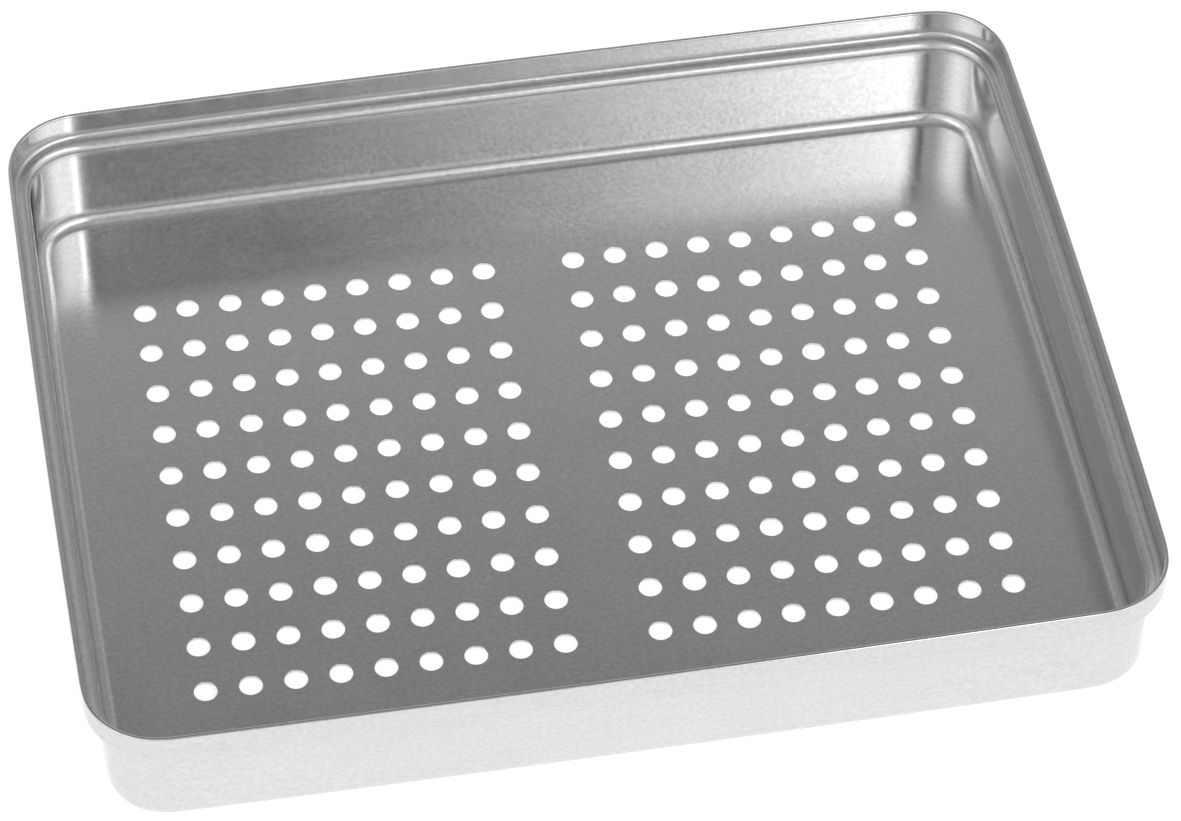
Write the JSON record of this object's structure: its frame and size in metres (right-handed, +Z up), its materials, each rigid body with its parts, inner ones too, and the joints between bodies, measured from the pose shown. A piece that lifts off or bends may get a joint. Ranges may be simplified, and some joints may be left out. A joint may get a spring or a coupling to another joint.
{
  "type": "impression tray",
  "caption": "Shallow rectangular pan drawn from sheet steel, with an upright rim above a ledge, round corners and fields of round drain holes in its flat floor.",
  "frame": {"origin": "centre of the flat underside", "axes": "+X along the long side, +Y along the short side, +Z up towards the open top"},
  "size_m": [0.1842, 0.147, 0.0252],
  "materials": {
    "tray_steel": "bright drawn stainless steel with a fine dull grain and blurred reflections"
  },
  "bodies": {
    "root": {"tray_pan": "tray_steel"}
  },
  "joints": []
}
